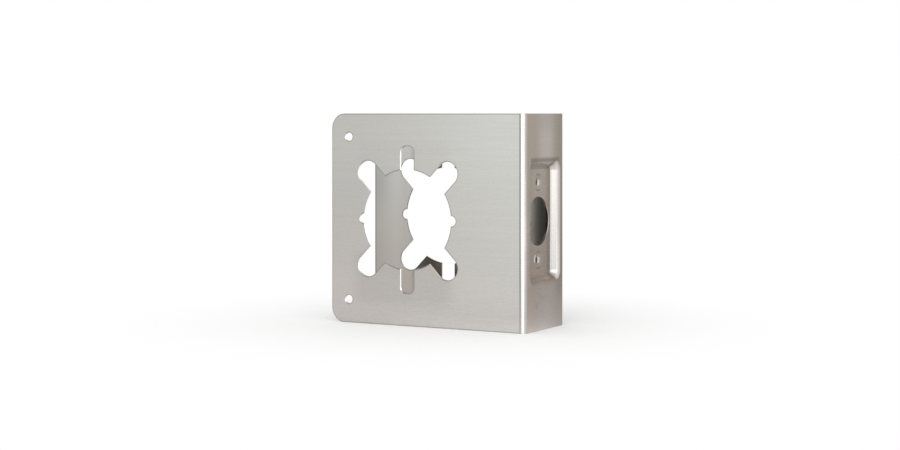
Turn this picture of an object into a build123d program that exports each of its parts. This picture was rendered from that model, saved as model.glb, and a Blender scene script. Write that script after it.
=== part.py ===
"""Wrap-around door plate: one strip of stainless sheet folded round a door's edge.

The plate stands on its lower edge, as it would on the door. X runs along the two leaves,
from their free edges to the folded edge face. Y runs through the door's thickness, with
the front leaf on the -Y side. Z is up, and the origin is the middle of the plate's base.
"""
import os
from math import atan2, radians, tan

from build123d import *

# The folded sheet, with its gap and leaves measured on the door's side
sheet_thickness = 1.27
plate_height = 114.3
leaf_width = 117.475
door_thickness = 44.45
bend_radius = 1.6
corner_radius = 8.0
edge_break = 0.2

# The screw holes near the free edges
leaf_screw_diameter = 4.7
leaf_screw_inset = 10.8
leaf_screw_margin = 12.7

# The lock cut-out, the same in both leaves
backset = 69.85
lock_bore_diameter = 53.975
lobe_circle_diameter = 70.2
lobe_width = 12.7
lobe_angle = 45.7
notch_width = 5.6
slot_width = 8.4
slot_length = 79.0
slot_corner_radius = 3.2

# The drawn recess for the latch's faceplate
faceplate_width = 28.575
faceplate_height = 57.15
faceplate_clearance = 0.3
recess_depth = 4.2
side_wall_run = 2.8
end_wall_run = 3.0
floor_corner_radius = 2.0
mouth_corner_radius = 5.5
floor_fillet = 0.8
rim_fillet = 1.9

# The holes in the recess floor
latch_bore_diameter = 25.4
latch_screw_spacing = 41.275
latch_screw_diameter = 4.7
screw_sink_diameter = 9.0
screw_sink_angle = 160.0
sink_fillet = 2.5

# Where the sheet's faces lie
edge_x = (leaf_width + sheet_thickness) / 2
free_x = -edge_x
door_edge_x = edge_x - sheet_thickness
door_half = door_thickness / 2
plate_depth = door_thickness + 2 * sheet_thickness
mid_height = plate_height / 2

# The recess's outlines, where its walls meet the floor and the edge face
floor_width = faceplate_width + 2 * faceplate_clearance
floor_height = faceplate_height + 2 * faceplate_clearance
mouth_width = floor_width + 2 * side_wall_run
mouth_height = floor_height + 2 * end_wall_run


def back_shift(rise, run):
    """How much further out a sloping wall's fold lines lie on the sheet's back."""
    return sheet_thickness * tan(atan2(rise, run) / 2)


side_shift = back_shift(recess_depth, side_wall_run)
end_shift = back_shift(recess_depth, end_wall_run)
corner_shift = max(side_shift, end_shift)

# The screw dimples are shallow cones, pressed through the floor
sink_run = (screw_sink_diameter - latch_screw_diameter) / 2
sink_depth = sink_run / tan(radians(screw_sink_angle / 2))
dimple_back_radius = screw_sink_diameter / 2 + back_shift(sink_depth, sink_run)

# The planes that the cut-outs are drawn on
edge_face = Plane((edge_x, 0, mid_height), x_dir=(0, 1, 0), z_dir=(1, 0, 0))
recess_floor = edge_face.offset(-recess_depth)
lock_centre = (door_edge_x - backset, -plate_depth / 2, mid_height)
lock_face = Plane(lock_centre, x_dir=(1, 0, 0), z_dir=(0, -1, 0))

with BuildPart() as wrap_plate:
    # The strip's section: two leaves and the edge face, folded to the door's thickness.
    with BuildSketch():
        with BuildLine():
            FilletPolyline(
                (free_x, door_half),
                (door_edge_x, door_half),
                (door_edge_x, -door_half),
                (free_x, -door_half),
                radius=bend_radius,
            )
            offset(amount=sheet_thickness, side=Side.LEFT)
        make_face()
    extrude(amount=plate_height)
    fillet(wrap_plate.edges().filter_by(Axis.Y).group_by(Axis.X)[0], radius=corner_radius)

    # The lock cut-out: a round bore with two crossed slots, a long slot and two notches.
    with BuildSketch(lock_face):
        Circle(lock_bore_diameter / 2)
        for turn in (lobe_angle, -lobe_angle):
            SlotCenterToCenter(lobe_circle_diameter, lobe_width, rotation=turn)
        RectangleRounded(slot_width, slot_length, slot_corner_radius)
        with Locations((-lock_bore_diameter / 2, 0), (lock_bore_diameter / 2, 0)):
            Circle(notch_width / 2)
    extrude(amount=-plate_depth, mode=Mode.SUBTRACT)

    screw_x = free_x + leaf_screw_inset - lock_face.origin.X
    screw_rise = mid_height - leaf_screw_margin
    leaf_screws = ((screw_x, screw_rise), (screw_x, -screw_rise))
    with Locations(lock_face):
        with Locations(*leaf_screws):
            Hole(leaf_screw_diameter / 2)

    # The recess is drawn into the edge face, so its back bulges as its face sinks.
    with BuildSketch(edge_face.offset(-sheet_thickness)):
        RectangleRounded(
            mouth_width + 2 * side_shift,
            mouth_height + 2 * end_shift,
            mouth_corner_radius + corner_shift,
        )
    with BuildSketch(recess_floor.offset(-sheet_thickness)):
        RectangleRounded(
            floor_width + 2 * side_shift,
            floor_height + 2 * end_shift,
            floor_corner_radius + corner_shift,
        )
    loft()
    back_folds = wrap_plate.edges(Select.LAST).group_by(Axis.X)
    fillet(back_folds[0], radius=floor_fillet + sheet_thickness)
    fillet(back_folds[-1], radius=rim_fillet)

    with BuildSketch(edge_face):
        RectangleRounded(mouth_width, mouth_height, mouth_corner_radius)
    with BuildSketch(recess_floor):
        RectangleRounded(floor_width, floor_height, floor_corner_radius)
    loft(mode=Mode.SUBTRACT)
    face_folds = wrap_plate.edges(Select.LAST).group_by(Axis.X)
    fillet(face_folds[0], radius=floor_fillet)
    fillet(face_folds[-1], radius=rim_fillet + sheet_thickness)

    # The floor has the latch's bore, and a dimple for the head of each faceplate screw.
    latch_screws = ((0, latch_screw_spacing / 2), (0, -latch_screw_spacing / 2))
    with BuildSketch(recess_floor.offset(-sheet_thickness)):
        with Locations(*latch_screws):
            Circle(dimple_back_radius)
    extrude(amount=-sink_depth, taper=screw_sink_angle / 2)
    with Locations(recess_floor):
        Hole(latch_bore_diameter / 2)
        latch_rim = wrap_plate.edges(Select.LAST).sort_by(Axis.X)[-1]
        with Locations(*latch_screws):
            CounterSinkHole(
                latch_screw_diameter / 2,
                screw_sink_diameter / 2,
                counter_sink_angle=screw_sink_angle,
            )
    sink_rims = wrap_plate.edges(Select.LAST).group_by(Axis.X)[-1]
    fillet(sink_rims, radius=sink_fillet)

    # Sheared and punched edges are broken on the show side, all but the fold lines.
    leaf_faces = wrap_plate.faces().filter_by(Axis.Y).sort_by(Axis.Y)
    cut_edges = ShapeList([latch_rim])
    for leaf in (leaf_faces[0], leaf_faces[-1]):
        cut_edges += leaf.edges().sort_by(Axis.X)[:-1]
    chamfer(cut_edges, length=edge_break)

wrap_plate.part.label = "wrap_plate"
os.makedirs("parts", exist_ok=True)
export_step(wrap_plate.part, "parts/wrap_plate.step")
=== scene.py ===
from math import cos, pi, radians, sin

import bpy
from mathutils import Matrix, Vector

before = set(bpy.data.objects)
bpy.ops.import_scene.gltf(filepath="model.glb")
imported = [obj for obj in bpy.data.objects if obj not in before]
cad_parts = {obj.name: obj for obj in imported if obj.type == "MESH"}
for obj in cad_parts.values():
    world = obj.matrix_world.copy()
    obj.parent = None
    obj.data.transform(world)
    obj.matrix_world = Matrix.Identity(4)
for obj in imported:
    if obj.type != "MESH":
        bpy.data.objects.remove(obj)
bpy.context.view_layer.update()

# The plate's own sizes, in metres, as the solid has them. BEND is a fold's outer radius.
SHEET = 0.00127
EDGE_X = 0.0593725
FACE_Y = 0.023495
INNER_Y = FACE_Y - SHEET
HEIGHT = 0.1143
MIDDLE = HEIGHT / 2
BEND = 0.00287
FOLD_X, FOLD_Y = EDGE_X - BEND, FACE_Y - BEND
RECESS_X = EDGE_X - 0.0042
CORNER = 0.008
LOCK_X = EDGE_X - SHEET - 0.06985
BORE = 0.053975 / 2
LOBE_REACH, LOBE_RADIUS, LOBE_TURN = 0.0702 / 2, 0.0127 / 2, radians(45.7)
SLOT_WIDTH, SLOT_LENGTH, SLOT_CORNER = 0.0084, 0.079, 0.0032
NOTCH_RADIUS = 0.0056 / 2
SCREW_X, SCREW_RISE, SCREW_RADIUS = -EDGE_X + 0.0108, MIDDLE - 0.0127, 0.0047 / 2
LATCH_RADIUS, LATCH_SCREW_RISE, DIMPLE_RADIUS = 0.0127, 0.041275 / 2, 0.0045

# The outside's tones at the free edge and at the fold, low down and high up. Their being lighter
# by the fold and high up is painted light.
LOW_TONES = ((0.526, 0.496, 0.472, 1), (0.570, 0.549, 0.521, 1))
HIGH_TONES = ((0.507, 0.498, 0.471, 1), (0.605, 0.612, 0.578, 1))
# The inside's tones, low down and high up. The darker one low down is painted shade.
INSIDE_TONES = ((0.455, 0.413, 0.375, 1), (0.565, 0.570, 0.545, 1))

# Tints multiply the sheet's tone: those of the edge face, along its sides and its middle, are
# painted light
EDGE_TINTS = ((0.98, 0.94, 0.93, 1), (1.01, 0.995, 1.05, 1))
LOW_EDGE_TINT = (0.965, 0.975, 0.99, 1)
# ... of the recess, plain and in brown patches, with that of its floor and of its lower wall. The
# plain one is partly the drawn finish and partly painted shade; the others are painted shade
DRAWN_TINTS = ((0.83, 0.79, 0.755, 1), (0.82, 0.72, 0.65, 1))
RECESS_FLOOR_TINT = (0.90, 0.885, 0.825, 1)
LOW_WALL_TINT = (1.14, 1.0, 0.93, 1)
# ... and of the painted light on a bend's shoulder, low down and high up, and of the painted shade
# inside
SHOULDER_TINTS = ((1.06, 1.12, 1.17, 1), (1.0, 1.03, 1.07, 1))
INSIDE_SHADE_TINT = (0.88, 0.81, 0.74, 1)

# The tones of painted highlights on the recess's far wall, the bends' crowns and the glints, and
# of the cut faces
FAR_WALL_TONE = (0.86, 0.855, 0.845, 1)
CROWN_TONE = (0.84, 0.835, 0.82, 1)
GLINT_TONE = (0.95, 0.94, 0.93, 1)
CUT_TONE = (0.95, 0.945, 0.93, 1)

# How light each kind of mark is, next to the sheet round it
MARK_LEVELS = {
    "dip": 0.955,
    "cutout_dimming": 0.895,
    "rim_shade": 0.66,
    "wall_foot": 0.7,
    "end_shade": 0.71,
    "latch_wall": 0.2,
    "dimple": 0.66,
    "glint": 1.17,
    "die_line": 0.56,
    "smear": 0.84,
}

# The painted shade lines across the two ends of the recess. Each is a band of heights, given by
# its middle, half its width and its soft edge, and then by how deep it is.
HIGH_SHADE_LINES = ((0.0898, 0.0008, 0.0010, 1.0), (0.0855, 0.0005, 0.0007, 0.9))
LOW_SHADE_LINES = ((0.0259, 0.0003, 0.0006, 0.5), (0.0285, 0.0001, 0.0006, 0.5))
# How far the drawn area reaches from mid-height, and where the smears on the edge face are
DRAWN_RISE = 0.0345
SMEAR_SPOT = (EDGE_X, -0.0063, 0.0161)

# The finish: its roughness, and what cut faces and the bending tool's lines add to it
ROUGHNESS, CUT_ROUGHNESS, DIE_LINE_ROUGHNESS = 0.29, 0.28, 0.12
# How far the brushing moves the roughness and the tone, and how little of it the inside has
ROUGHNESS_GRAIN, STREAK_GRAIN, SPECKLE_GRAIN = 0.05, 0.025, 0.015
INSIDE_PLAINNESS = 0.7
BUMP_STRENGTH, BUMP_DISTANCE = 0.12, 0.00002
# How far rolled walls lean outward in the shading, and how much less metallic cut faces are
ROLLED_LEAN, CUT_DULLNESS = 1.1, 0.85
ANISOTROPY = 0.6
# Scratches lie level, so the sheen spreads upright across them. The axis leans a little, so
# that level faces have a sheen as well.
SHEEN_AXIS = (0.02, 0.01, 1.0)

scene = bpy.context.scene
scene.view_settings.view_transform = "Standard"


class Nodes:
    """Short calls for building a material's node tree."""

    def __init__(self, tree):
        self.tree = tree
        tree.nodes.clear()

    def new(self, kind, **settings):
        node = self.tree.nodes.new(kind)
        for name, value in settings.items():
            setattr(node, name, value)
        return node

    def put(self, socket, value):
        """Sets a socket to a number or colour, or links it to another node's output."""
        if isinstance(value, bpy.types.NodeSocket):
            self.tree.links.new(value, socket)
        else:
            socket.default_value = value

    def math(self, operation, first, *others):
        """An operation on one value, or on several from left to right."""
        for other in others or (0.0,):
            node = self.new("ShaderNodeMath", operation=operation)
            self.put(node.inputs[0], first)
            self.put(node.inputs[1], other)
            first = node.outputs[0]
        return first

    def total(self, *values):
        return self.math("ADD", *values)

    def minus(self, a, b):
        return self.math("SUBTRACT", a, b)

    def product(self, *values):
        return self.math("MULTIPLY", *values)

    def least(self, *values):
        return self.math("MINIMUM", *values)

    def most(self, *values):
        return self.math("MAXIMUM", *values)

    def size(self, value):
        return self.math("ABSOLUTE", value)

    def flip(self, mask):
        """0 where the mask is 1, and 1 where it is 0."""
        return self.minus(1.0, mask)

    def vector(self, operation, a, b=(0.0, 0.0, 0.0)):
        node = self.new("ShaderNodeVectorMath", operation=operation)
        self.put(node.inputs[0], a)
        self.put(node.inputs[1], b)
        gives_number = operation in ("DOT_PRODUCT", "LENGTH", "DISTANCE")
        return node.outputs["Value" if gives_number else "Vector"]

    def point(self, a, b):
        node = self.new("ShaderNodeCombineXYZ")
        self.put(node.inputs[0], a)
        self.put(node.inputs[1], b)
        return node.outputs[0]

    def split(self, vector):
        node = self.new("ShaderNodeSeparateXYZ")
        self.put(node.inputs[0], vector)
        return node.outputs

    def ramp(self, value, low, high, to_low=0.0, to_high=1.0):
        """A smooth step from to_low to to_high as value goes from low to high."""
        node = self.new("ShaderNodeMapRange", interpolation_type="SMOOTHSTEP", clamp=True)
        for socket, number in zip(node.inputs, (value, low, high, to_low, to_high)):
            self.put(socket, number)
        return node.outputs[0]

    def fall(self, value, low, high):
        """1 up to low, and a smooth step from there to 0 at high."""
        return self.ramp(value, low, high, 1.0, 0.0)

    def band(self, value, middle, half, soft):
        """1 within half of middle, fading to 0 over soft on each side."""
        return self.fall(self.size(self.minus(value, middle)), half, half + soft)

    def fade(self, mask, level):
        """1 where the mask is 0, and level where it is 1."""
        return self.ramp(mask, 0.0, 1.0, 1.0, level)

    def noise(self, place, scales, detail=2.0, roughness=0.6):
        """Noise, with its own scale along each axis."""
        node = self.new("ShaderNodeTexNoise")
        self.put(node.inputs["Vector"], self.vector("MULTIPLY", place, scales))
        self.put(node.inputs["Scale"], 1.0)
        self.put(node.inputs["Detail"], detail)
        self.put(node.inputs["Roughness"], roughness)
        return node.outputs["Fac"]

    def mix(self, factor, a, b, blend="MIX"):
        node = self.new("ShaderNodeMix", data_type="RGBA", blend_type=blend)
        self.put(node.inputs["Factor"], factor)
        self.put(node.inputs["A"], a)
        self.put(node.inputs["B"], b)
        return node.outputs["Result"]

    def tint(self, tone, by, mask=1.0):
        """The tone, multiplied by a tint or a plain number where the mask is 1."""
        return self.mix(mask, tone, by, "MULTIPLY")

    def to_circle(self, point, centre, radius):
        """How far a point lies outside a circle."""
        return self.minus(self.vector("DISTANCE", point, (*centre, 0.0)), radius)

    def to_box(self, point, half_width, half_height, corner):
        """How far a point in the first quarter lies outside a box with round corners."""
        over = self.vector("SUBTRACT", point, (half_width - corner, half_height - corner, 0.0))
        over_x, over_y, _ = self.split(over)
        outside = self.vector("LENGTH", self.vector("MAXIMUM", over, (0.0, 0.0, 0.0)))
        within = self.least(self.most(over_x, over_y), 0.0)
        return self.minus(self.total(outside, within), corner)

    def finish(self, shader):
        self.put(self.new("ShaderNodeOutputMaterial").inputs["Surface"], shader.outputs[0])


def new_material(name):
    material = bpy.data.materials.new(name)
    material.use_nodes = True
    return material, Nodes(material.node_tree)


class Place:
    """Where a point of the plate lies: its coordinates, and masks from 0 to 1."""

    def __init__(self, n):
        self.point = n.new("ShaderNodeTexCoord").outputs["Object"]
        self.normal = n.new("ShaderNodeNewGeometry").outputs["Normal"]
        self.x, self.y, self.z = n.split(self.point)
        self.nx, self.ny, self.nz = n.split(self.normal)
        # The distances from mid-height and from the middle of the door's thickness
        self.rise = n.size(n.minus(self.z, MIDDLE))
        self.beside = n.size(self.y)
        self.side = n.math("SIGN", self.y)
        self.outward = n.product(self.side, self.ny)

        self.on_leaf = n.product(
            n.fall(self.x, FOLD_X - 0.0001, FOLD_X),
            n.ramp(self.beside, INNER_Y - 0.0003, INNER_Y - 0.0001),
        )
        self.off_leaf = n.flip(self.on_leaf)
        # The inside is what faces the door.
        self.inside = n.most(
            n.product(self.on_leaf, n.fall(self.outward, -0.6, -0.4)),
            n.product(self.off_leaf, n.fall(self.nx, -0.5, -0.2)),
        )
        self.outside = n.flip(self.inside)
        self.on_edge = n.product(self.off_leaf, self.outside)
        self.on_bend = n.product(
            self.off_leaf,
            n.ramp(self.outward, 0.2, 0.5),
            n.ramp(self.beside, FOLD_Y, FOLD_Y + 0.0002),
        )
        self.cloud = n.noise(self.point, (16.0, 16.0, 16.0), 3.0, 0.5)


class Recess:
    """Masks of the drawn recess. Its far wall is the one beside the back leaf."""

    def __init__(self, n, at):
        self.far_wall = n.product(
            at.on_edge,
            n.ramp(at.y, 0.0135, 0.0145),
            n.fall(at.ny, -0.26, -0.06),
            n.fall(at.rise, DRAWN_RISE - 0.0020, DRAWN_RISE),
        )
        self.off_far_wall = n.flip(self.far_wall)
        self.drawn = n.product(
            at.on_edge,
            n.fall(at.rise, DRAWN_RISE - 0.0045, DRAWN_RISE),
            n.fall(at.beside, 0.0155, 0.0180),
            self.off_far_wall,
        )
        self.from_bore = n.vector("LENGTH", n.point(at.y, at.rise))
        from_screw = n.vector("LENGTH", n.point(n.minus(at.rise, LATCH_SCREW_RISE), at.y))
        self.dimple_rim = n.product(
            self.drawn, n.band(from_screw, DIMPLE_RADIUS - 0.0002, 0.0002, 0.0005)
        )


def rim_distance(n, x, z):
    """How far a place on a leaf is from the nearest cut edge."""
    rise = n.size(n.minus(z, MIDDLE))
    place = n.point(n.size(n.minus(x, LOCK_X)), rise)
    # A lobe's sides run straight out from the centre to its round end, so the distance to it is
    # the distance to the line in its middle, less its radius.
    way = (cos(LOBE_TURN), sin(LOBE_TURN), 0.0)
    along = n.least(n.most(n.vector("DOT_PRODUCT", place, way), 0.0), LOBE_REACH)
    nearest = n.vector("MULTIPLY", way, along)
    openings = n.least(
        n.to_circle(place, (0.0, 0.0), BORE),
        n.minus(n.vector("DISTANCE", place, nearest), LOBE_RADIUS),
        n.to_box(place, SLOT_WIDTH / 2, SLOT_LENGTH / 2, SLOT_CORNER),
        n.to_circle(place, (BORE, 0.0), NOTCH_RADIUS),
        n.to_circle(n.point(x, rise), (SCREW_X, SCREW_RISE), SCREW_RADIUS),
    )
    # Only the free edge has round corners, so the outline is a box that runs on past the fold.
    box_middle = 0.02
    from_middle = n.size(n.minus(x, box_middle))
    outline = n.to_box(n.point(from_middle, rise), EDGE_X + box_middle, MIDDLE, CORNER)
    return n.least(openings, n.product(outline, -1.0))


def cut_faces(n, at):
    """Masks of the bright cut faces, of the walls that are rolled over, and of the latch bore."""
    # Cut faces stand across the sheet, round every opening and along the rims.
    across = n.product(at.on_leaf, n.fall(n.size(at.ny), 0.2, 0.5))
    ends = n.product(
        at.off_leaf, n.ramp(n.size(at.nz), 0.93, 0.98), n.ramp(at.rise, 0.055, 0.056)
    )
    # The punch rolled the walls on the free side over and left them bright. Walls that face up
    # or down show its dull break, and so does the inner part of the slots' walls.
    rolled = n.product(across, n.ramp(at.nx, 0.6, 0.95))
    upright = n.ramp(n.size(at.nx), 0.3, 0.95, 0.35, 1.0)
    in_slot = n.product(n.band(at.x, LOCK_X, 0.0045, 0.0002), n.ramp(at.rise, 0.0268, 0.0274))
    deep = n.fall(at.beside, INNER_Y + 0.0002, INNER_Y + 0.0007)
    across = n.product(across, upright, n.flip(n.product(in_slot, deep, 0.9)))

    # In the recess floor the walls of the screw holes are bright, and the bore's wall is kept
    # apart, to be darkened with painted shade.
    past_bore = (LATCH_RADIUS + 0.0005, LATCH_RADIUS + 0.0007)
    bores = n.product(
        n.band(at.x, RECESS_X - SHEET / 2, SHEET / 2 + 0.0005, 0.0001),
        n.fall(n.size(at.nx), 0.1, 0.3),
        n.fall(at.beside, *past_bore),
    )
    screw_walls = n.product(bores, n.band(at.rise, LATCH_SCREW_RISE, 0.0010, 0.0012))
    latch_wall = n.product(bores, n.fall(at.rise, *past_bore))
    return n.most(across, ends, screw_walls), rolled, latch_wall


def rim_shade_lines(n, at):
    """Painted shade: a dark line along each opening, on the side to its right and over it."""
    step = 0.0004
    edge = rim_distance(n, at.x, at.z)
    growth = n.minus(edge, rim_distance(n, n.minus(at.x, step), at.z))
    return n.product(
        at.on_leaf,
        n.ramp(n.size(at.ny), 0.5, 0.7),
        n.fall(edge, 0.0003, 0.0008),
        n.ramp(growth, -step, 0.0, 0.15, 1.0),
    )


def outside_tone(n, at):
    """A tone that drifts a little, with painted light: lighter and cooler near the top of the
    fold, darker towards the free edge, warmer and duller low down.
    """
    drift = n.product(n.minus(at.cloud, 0.5), 0.05)
    height = n.ramp(n.total(at.z, drift), 0.0, HEIGHT)
    near_fold = n.ramp(at.x, -EDGE_X, EDGE_X)
    return n.mix(height, n.mix(near_fold, *LOW_TONES), n.mix(near_fold, *HIGH_TONES))


def inside_tone(n, at):
    """A duller mill finish with painted light and shade: dimmest towards the folds, along the free
    edges and low down, with a light band on the back leaf.
    """
    tone = n.mix(n.ramp(at.z, 0.0, 0.11), *INSIDE_TONES)
    free_level = n.ramp(at.z, 0.05, 0.08, 0.84, 0.72)
    free_side = n.product(
        n.ramp(at.x, -EDGE_X, -EDGE_X + 0.016, free_level, 1.0),
        n.ramp(at.x, -EDGE_X + 0.0004, -EDGE_X + 0.0016, 0.86, 1.0),
    )
    # Painted light and shade: it grows lighter up to a soft line, and is dim from there to the
    # fold.
    fold_side = n.product(
        n.ramp(at.x, -0.041, -0.0345, 1.0, 1.22), n.ramp(at.x, -0.034, -0.030, 1.0, 0.51)
    )
    # A painted sheen: the back leaf has a light band there, which shows through the latch bore.
    light_band = n.product(n.band(at.x, 0.036, 0.002, 0.009), n.ramp(at.y, -0.01, 0.01))
    tone = n.tint(tone, n.product(free_side, n.total(fold_side, light_band)))
    # Painted shade, darker and browner, low down left of the middle
    low_shade = n.product(n.band(at.x, -0.020, 0.010, 0.006), n.fall(at.z, 0.030, 0.045))
    return n.tint(tone, INSIDE_SHADE_TINT, low_shade)


def edge_tint(n, at):
    """Painted light on the edge face: it is bluer along its middle, and greyer low down on its far
    side.
    """
    tint = n.mix(n.band(at.y, 0.001, 0.003, 0.012), *EDGE_TINTS)
    low_far = n.product(n.fall(at.z, 0.020, 0.060), n.ramp(at.y, -0.020, 0.012))
    return n.mix(low_far, tint, LOW_EDGE_TINT)


def edge_light_and_shade(n, at):
    """Painted light and shade on the edge face: how far its level rises along its middle and by
    the near fold, and sinks towards the back leaf and low down."""
    hump = n.total(
        n.ramp(at.z, 0.02, 0.075, 0.35, 1.0), n.product(n.band(at.z, 0.0975, 0.003, 0.010), 1.2)
    )
    far_side = n.ramp(at.y, 0.006, 0.021, 0.0, n.ramp(at.z, 0.010, 0.025, -1.0, -2.2))
    low = n.ramp(at.z, 0.02, 0.08, -1.0, 0.0)
    near_strip = n.product(n.fall(at.y, -0.0185, -0.0165), n.band(at.z, 0.042, 0.010, 0.014))
    edge_painted = n.total(
        n.product(n.band(at.y, 0.001, 0.002, 0.012), hump),
        far_side,
        low,
        n.product(near_strip, 1.2),
    )
    return n.product(at.on_edge, edge_painted, 0.09)


def drawn_tint(n, at):
    """The recess is duller and browner, partly from drawing and partly as painted shade, darker
    still in its floor, with painted brown shade in patches towards its lower end.
    """
    blotches = n.noise(at.point, (130.0, 150.0, 620.0), 3.0)
    low_brown_shade = n.product(n.fall(at.z, 0.022, 0.036), n.ramp(blotches, 0.35, 0.6))
    tint = n.mix(low_brown_shade, *DRAWN_TINTS)
    # Painted shade in the recess floor
    tint = n.mix(n.fall(at.x, RECESS_X + 0.0003, RECESS_X + 0.0010), tint, RECESS_FLOOR_TINT)
    low_wall = n.product(n.band(at.z, 0.0280, 0.0015, 0.0035), n.ramp(blotches, 0.35, 0.55))
    return n.tint(tint, LOW_WALL_TINT, low_wall)


def end_shade_lines(n, at, recess):
    """Painted shade lines across both ends of the recess, straight above and wavy below."""
    ripple = n.noise(at.point, (160.0, 260.0, 0.0), roughness=0.5)
    wavy_z = n.total(at.z, n.ramp(ripple, 0.3, 0.7, -0.0006, 0.0006))
    lines = [
        n.product(n.band(height, *shape), depth)
        for height, shapes in ((at.z, HIGH_SHADE_LINES), (wavy_z, LOW_SHADE_LINES))
        for *shape, depth in shapes
    ]
    return n.product(
        at.on_edge,
        n.most(*lines),
        n.ramp(at.cloud, 0.3, 0.7, 0.7, 1.0),
        n.fall(at.beside, 0.0165, 0.0185),
        recess.off_far_wall,
    )


def cutout_dimming(n, at):
    """The leaves are darker round the cut-out, most of all just under it."""
    under = n.product(n.ramp(at.z, 0.006, 0.018), n.fall(at.z, 0.034, 0.044))
    over = n.product(n.band(at.z, 0.0905, 0.006, 0.008), 0.35)
    around = n.band(at.x, -0.0145, 0.023, 0.014)
    return n.product(at.on_leaf, n.total(under, over), around, at.outside)


def smears(n, at):
    """A few rubbed smears low on the edge face, where the plate has been held."""
    from_spot = n.vector("DISTANCE", at.point, SMEAR_SPOT)
    smear = n.noise(at.point, (300.0, 800.0, 260.0))
    return n.product(n.fall(from_spot, 0.003, 0.010), n.ramp(smear, 0.5, 0.62))


def glint_masks(n, at, recess):
    """Painted glints: a bright arc beside the lower dimple, and a light line along the latch
    bore's far side.
    """
    dimple_glint = n.product(
        recess.dimple_rim, n.band(at.z, 0.0374, 0.0016, 0.0006), n.fall(at.y, -0.0028, -0.0022)
    )
    line = n.product(
        recess.drawn,
        n.band(recess.from_bore, LATCH_RADIUS + 0.0003, 0.0001, 0.0002),
        n.band(at.z, 0.0547, 0.002, 0.004),
        n.ramp(at.y, 0.0, 0.001),
        0.7,
    )
    return n.most(dimple_glint, line)


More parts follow.
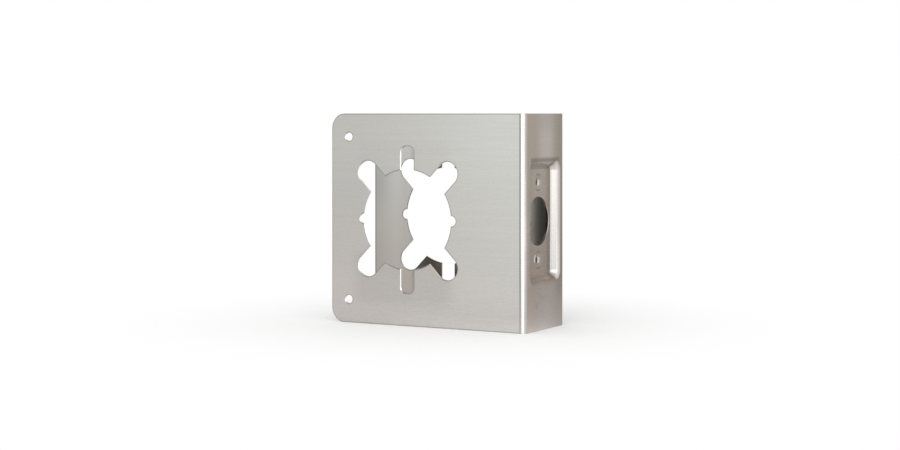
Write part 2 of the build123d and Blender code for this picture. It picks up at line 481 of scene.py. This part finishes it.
def stainless():
    """Brushed stainless sheet, with its cut edges, fold lines and marks, and its painted light and
    shade.
    """
    material, n = new_material("brushed_stainless")
    at = Place(n)
    recess = Recess(n, at)
    cut, rolled, latch_wall = cut_faces(n, at)
    painted_glints = glint_masks(n, at, recess)

    # Brushing runs level round the plate, so its streaks are long in X and Y and fine in Z.
    fine = n.noise(at.point, (90.0, 90.0, 5200.0), 3.0)
    broad = n.noise(at.point, (20.0, 20.0, 900.0))
    streaks = n.total(n.product(fine, 0.6), n.product(broad, 0.4))
    speckle = n.noise(at.point, (900.0, 900.0, 900.0))
    brushed = n.flip(n.product(at.inside, INSIDE_PLAINNESS))

    # Painted light: a bend is lighter and bluer on its shoulder, next to the edge face.
    on_shoulder = n.product(at.on_bend, n.band(at.nx, 0.74, 0.14, 0.12))
    shoulder_tint = n.mix(n.ramp(at.z, 0.030, 0.090), *SHOULDER_TINTS)
    tone = n.mix(at.inside, outside_tone(n, at), inside_tone(n, at))
    tone = n.tint(tone, edge_tint(n, at), at.on_edge)
    tone = n.tint(tone, drawn_tint(n, at), recess.drawn)
    tone = n.tint(tone, shoulder_tint, on_shoulder)

    # The bending tool leaves a dull line beside each fold.
    die_line = n.product(
        n.band(at.x, FOLD_X - 0.0003, 0.0003, 0.0004),
        n.ramp(at.outward, 0.9, 0.98),
        n.ramp(at.z, 0.0, 0.04, 0.6, 1.0),
    )
    bore_rim = n.product(
        recess.drawn,
        n.band(recess.from_bore, LATCH_RADIUS, 0.0002, 0.0002),
        n.ramp(at.rise, 0.006, 0.011),
    )
    marks = {
        # A broad band just under mid-height, weaker towards the fold
        "dip": n.product(
            at.on_leaf, n.band(at.z, 0.055, 0.010, 0.035), n.ramp(at.x, -EDGE_X, 0.03, 1.0, 0.6)
        ),
        "cutout_dimming": cutout_dimming(n, at),
        "rim_shade": rim_shade_lines(n, at),
        # Painted shade at the foot of the recess's far wall
        "wall_foot": n.product(
            recess.far_wall, n.fall(at.x, RECESS_X + 0.0004, RECESS_X + 0.0010)
        ),
        "end_shade": end_shade_lines(n, at, recess),
        # Painted shade on the latch bore's wall and round its rim
        "latch_wall": n.most(latch_wall, bore_rim),
        # Painted shade round the rim of each dimple, faint on its two sides
        "dimple": n.product(recess.dimple_rim, n.ramp(at.beside, 0.0008, 0.0036, 1.0, 0.25)),
        "glint": n.product(
            at.on_bend, n.band(at.nx, 0.81, 0.04, 0.06), n.band(at.z, 0.063, 0.014, 0.010)
        ),
        "die_line": die_line,
        "smear": smears(n, at),
    }
    grain = n.total(
        n.ramp(streaks, 0.3, 0.7, -STREAK_GRAIN, STREAK_GRAIN),
        n.ramp(speckle, 0.3, 0.7, -SPECKLE_GRAIN, SPECKLE_GRAIN),
    )
    shade = n.product(n.total(1.0, n.product(grain, brushed)), n.total(1.0, edge_light_and_shade(n, at)))
    # Painted light: the lowest millimetres are lighter, most of all on the leaf near the fold.
    foot_level = n.ramp(at.x, -0.045, 0.0, 1.03, n.ramp(at.x, FOLD_X, EDGE_X, 1.11, 1.03))
    shade = n.product(shade, n.ramp(at.z, 0.0, 0.009, foot_level, 1.0))
    for name, mask in marks.items():
        shade = n.product(shade, n.fade(mask, MARK_LEVELS[name]))

    # Painted highlights lie over the sheet's tone: on the recess's far wall, most of all at its
    # rim, on the crown of each bend, and the glints; so do the cut faces.
    far_rim = n.product(recess.far_wall, n.ramp(at.nx, 0.57, 0.70))
    far_wall_highlight = n.total(
        n.product(recess.far_wall, 0.21),
        n.product(far_rim, n.ramp(at.z, 0.038, 0.055, 0.65, 0.45)),
    )
    crown = n.product(at.on_bend, n.band(at.nx, 0.385, 0.10, 0.17))
    base = n.tint(tone, shade)
    for mask, bright in (
        (far_wall_highlight, FAR_WALL_TONE),
        (crown, CROWN_TONE),
        (n.product(painted_glints, 0.9), GLINT_TONE),
        (cut, CUT_TONE),
    ):
        base = n.mix(mask, base, bright)

    # Cut faces that aren't rolled over are rough and mirror little.
    dull_cut = n.product(cut, n.flip(rolled))
    roughness = n.total(
        n.product(n.ramp(streaks, 0.3, 0.7, -ROUGHNESS_GRAIN, ROUGHNESS_GRAIN), brushed),
        ROUGHNESS,
        n.product(dull_cut, CUT_ROUGHNESS),
        n.product(die_line, DIE_LINE_ROUGHNESS),
    )
    metallic = n.flip(n.product(n.most(dull_cut, painted_glints), CUT_DULLNESS))

    # Rolled walls shade as if they leaned outward.
    lean = n.point(0.0, n.product(at.side, rolled, ROLLED_LEAN))
    bump = n.new("ShaderNodeBump")
    n.put(bump.inputs["Strength"], BUMP_STRENGTH)
    n.put(bump.inputs["Distance"], BUMP_DISTANCE)
    n.put(bump.inputs["Height"], n.product(streaks, brushed))
    n.put(bump.inputs["Normal"], n.vector("NORMALIZE", n.vector("ADD", at.normal, lean)))
    level = n.vector("CROSS_PRODUCT", SHEEN_AXIS, at.normal)
    upright = n.vector("NORMALIZE", n.vector("CROSS_PRODUCT", at.normal, level))

    shader = n.new("ShaderNodeBsdfPrincipled")
    n.put(shader.inputs["Base Color"], base)
    n.put(shader.inputs["Metallic"], metallic)
    n.put(shader.inputs["Roughness"], roughness)
    n.put(shader.inputs["Anisotropic"], ANISOTROPY)
    n.put(shader.inputs["Normal"], bump.outputs[0])
    n.put(shader.inputs["Tangent"], upright)
    n.finish(shader)
    return material


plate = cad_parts["wrap_plate"]
plate.data.materials.clear()
plate.data.materials.append(stainless())


def add_object(name, mesh, material):
    obj = bpy.data.objects.new(name, mesh)
    scene.collection.objects.link(obj)
    mesh.materials.append(material)
    return obj


def is_seen(n):
    """1 for a ray from the camera, or one that metal mirrors or glass lets through, else 0."""
    rays = n.new("ShaderNodeLightPath").outputs
    return n.most(*(rays[f"Is {kind} Ray"] for kind in ("Camera", "Glossy", "Transmission")))


def floor_material():
    """A pale floor that is plainly white where it is far from the plate."""
    material, n = new_material("floor")
    place = n.new("ShaderNodeTexCoord").outputs["Object"]
    plain = n.new("ShaderNodeBsdfDiffuse")
    n.put(plain.inputs["Color"], (0.97, 0.97, 0.97, 1))
    white = n.new("ShaderNodeEmission")
    n.put(white.inputs["Strength"], 1.0)
    far = n.ramp(n.vector("LENGTH", place), 0.04, 0.20)
    both = n.new("ShaderNodeMixShader")
    n.put(both.inputs[0], n.product(far, is_seen(n)))
    n.put(both.inputs[1], plain.outputs[0])
    n.put(both.inputs[2], white.outputs[0])
    n.finish(both)
    material.cycles.emission_sampling = "NONE"
    return material


FLOOR_REACH = 4
floor_mesh = bpy.data.meshes.new("floor")
floor_corners = ((-1, -1), (1, -1), (1, 1), (-1, 1))
floor_mesh.from_pydata(
    [(x * FLOOR_REACH, y * FLOOR_REACH, 0) for x, y in floor_corners], [], [(0, 1, 2, 3)]
)
add_object("floor", floor_mesh, floor_material())

# The dimmer side of the studio, which only the metal sees: bearing in degrees from +X towards +Y,
# and the tone there.
DIM_SIDE = (
    (-25, (1.00, 1.00, 1.00)),
    (-5, (0.97, 0.93, 0.91)),
    (18, (0.76, 0.71, 0.69)),
    (61, (0.59, 0.53, 0.495)),
    (92, (0.44, 0.39, 0.34)),
    (107, (0.13, 0.105, 0.08)),
    (128, (0.10, 0.08, 0.06)),
    (150, (0.34, 0.31, 0.28)),
    (185, (1.00, 1.00, 1.00)),
)
# Its section, as distances from the plate and heights
DIM_PROFILE = ((0.01, 0.0003), (1.3, 0.0003), (1.3, 1.1), (1.0, 1.7), (0.4, 2.0))
DIM_STEPS = 43


def dim_side_mesh(first, last):
    """A sector of floor and the curved backdrop over it, between two bearings."""
    rings = len(DIM_PROFILE)
    points = []
    for step in range(DIM_STEPS + 1):
        turn = radians(first + (last - first) * step / DIM_STEPS)
        points += [(cos(turn) * r, sin(turn) * r, h) for r, h in DIM_PROFILE]
    faces = []
    for step in range(DIM_STEPS):
        for ring in range(rings - 1):
            a = step * rings + ring
            faces.append((a, a + 1, a + rings + 1, a + rings))
    mesh = bpy.data.meshes.new("dim_side")
    mesh.from_pydata(points, [], faces)
    return mesh


def dim_side_material(first, last):
    """A glow that is toned by bearing."""
    material, n = new_material("dim_side")
    place = n.new("ShaderNodeTexCoord").outputs["Object"]
    x, y, _ = n.split(place)
    # The bearing is taken from the sector's middle, so that it doesn't jump inside the sector.
    middle = radians((first + last) / 2)
    turned_x = n.total(n.product(x, cos(middle)), n.product(y, sin(middle)))
    turned_y = n.minus(n.product(y, cos(middle)), n.product(x, sin(middle)))
    bearing = n.math("ARCTAN2", turned_y, turned_x)
    tones = n.new("ShaderNodeValToRGB")
    n.put(tones.inputs[0], n.total(n.math("DIVIDE", bearing, radians(last - first)), 0.5))
    stops = tones.color_ramp.elements
    for degrees, tone in DIM_SIDE[1:-1]:
        stops.new((degrees - first) / (last - first)).color = (*tone, 1)
    stops[0].color = (*DIM_SIDE[0][1], 1)
    stops[len(stops) - 1].color = (*DIM_SIDE[-1][1], 1)
    # It is a quarter dimmer round the plate, about 0.4 m away.
    dim_ring = n.product(n.band(n.vector("LENGTH", place), 0.42, 0.1, 0.15), 0.25)
    glow = n.new("ShaderNodeEmission")
    n.put(glow.inputs["Color"], tones.outputs[0])
    n.put(glow.inputs["Strength"], n.flip(dim_ring))
    n.finish(glow)
    material.cycles.emission_sampling = "NONE"
    return material


bearings = (DIM_SIDE[0][0], DIM_SIDE[-1][0])
dim_side = add_object("dim_side", dim_side_mesh(*bearings), dim_side_material(*bearings))
for kind in ("camera", "diffuse", "shadow", "volume_scatter"):
    setattr(dim_side, "visible_" + kind, False)

# The sky is white to the eye and lights the plate a little less.
SKY_LIGHT = 0.85
world = bpy.data.worlds.new("studio")
scene.world = world
world.use_nodes = True
world.cycles.sampling_method = "NONE"
sky = Nodes(world.node_tree)
light = sky.new("ShaderNodeBackground")
sky.put(light.inputs["Color"], (1, 1, 1, 1))
sky_strength = sky.total(sky.product(is_seen(sky), 1.0 - SKY_LIGHT), SKY_LIGHT)
sky.put(light.inputs["Strength"], sky_strength)
sky.put(sky.new("ShaderNodeOutputWorld").inputs["Surface"], light.outputs[0])


def soft_box(name, bearing, distance, height, width, tall, radiance):
    """A soft box at a bearing in degrees from +X towards +Y, facing the plate."""
    data = bpy.data.lights.new(name, "AREA")
    data.shape = "RECTANGLE"
    data.size, data.size_y = width, tall
    data.energy = radiance * pi * width * tall
    obj = bpy.data.objects.new(name, data)
    scene.collection.objects.link(obj)
    obj.location = (cos(radians(bearing)) * distance, sin(radians(bearing)) * distance, height)
    obj.rotation_euler = (-obj.location * Vector((1, 1, 0))).to_track_quat("-Z", "Y").to_euler()


soft_box("soft_box", bearing=-66, distance=1.3, height=0.65, width=1.85, tall=1.25, radiance=1.5)

# The camera looks level past the top of the near fold. Its focal length and the row of its
# horizon are in pixels of the frame.
FRAME_WIDTH, FRAME_HEIGHT = 900.0, 450.0
FOCAL, HORIZON_ROW = 1761.0, 113.5
SENSOR = 36.0
TURN = radians(28.856)
DEPTH, ASIDE = 0.91206, 0.039105
right = Vector((cos(TURN), sin(TURN), 0))
ahead = Vector((-sin(TURN), cos(TURN), 0))
near_fold_top = Vector((EDGE_X, -FACE_Y, HEIGHT))
camera_data = bpy.data.cameras.new("camera")
camera_data.sensor_width = SENSOR
camera_data.lens = FOCAL * SENSOR / FRAME_WIDTH
camera_data.shift_y = -(FRAME_HEIGHT / 2 - HORIZON_ROW) / FRAME_WIDTH
camera_data.clip_end = 50.0
camera = bpy.data.objects.new("camera", camera_data)
scene.collection.objects.link(camera)
camera.location = near_fold_top - right * ASIDE - ahead * DEPTH
camera.rotation_euler = (radians(90), 0, TURN)
scene.camera = camera

bpy.context.view_layer.update()
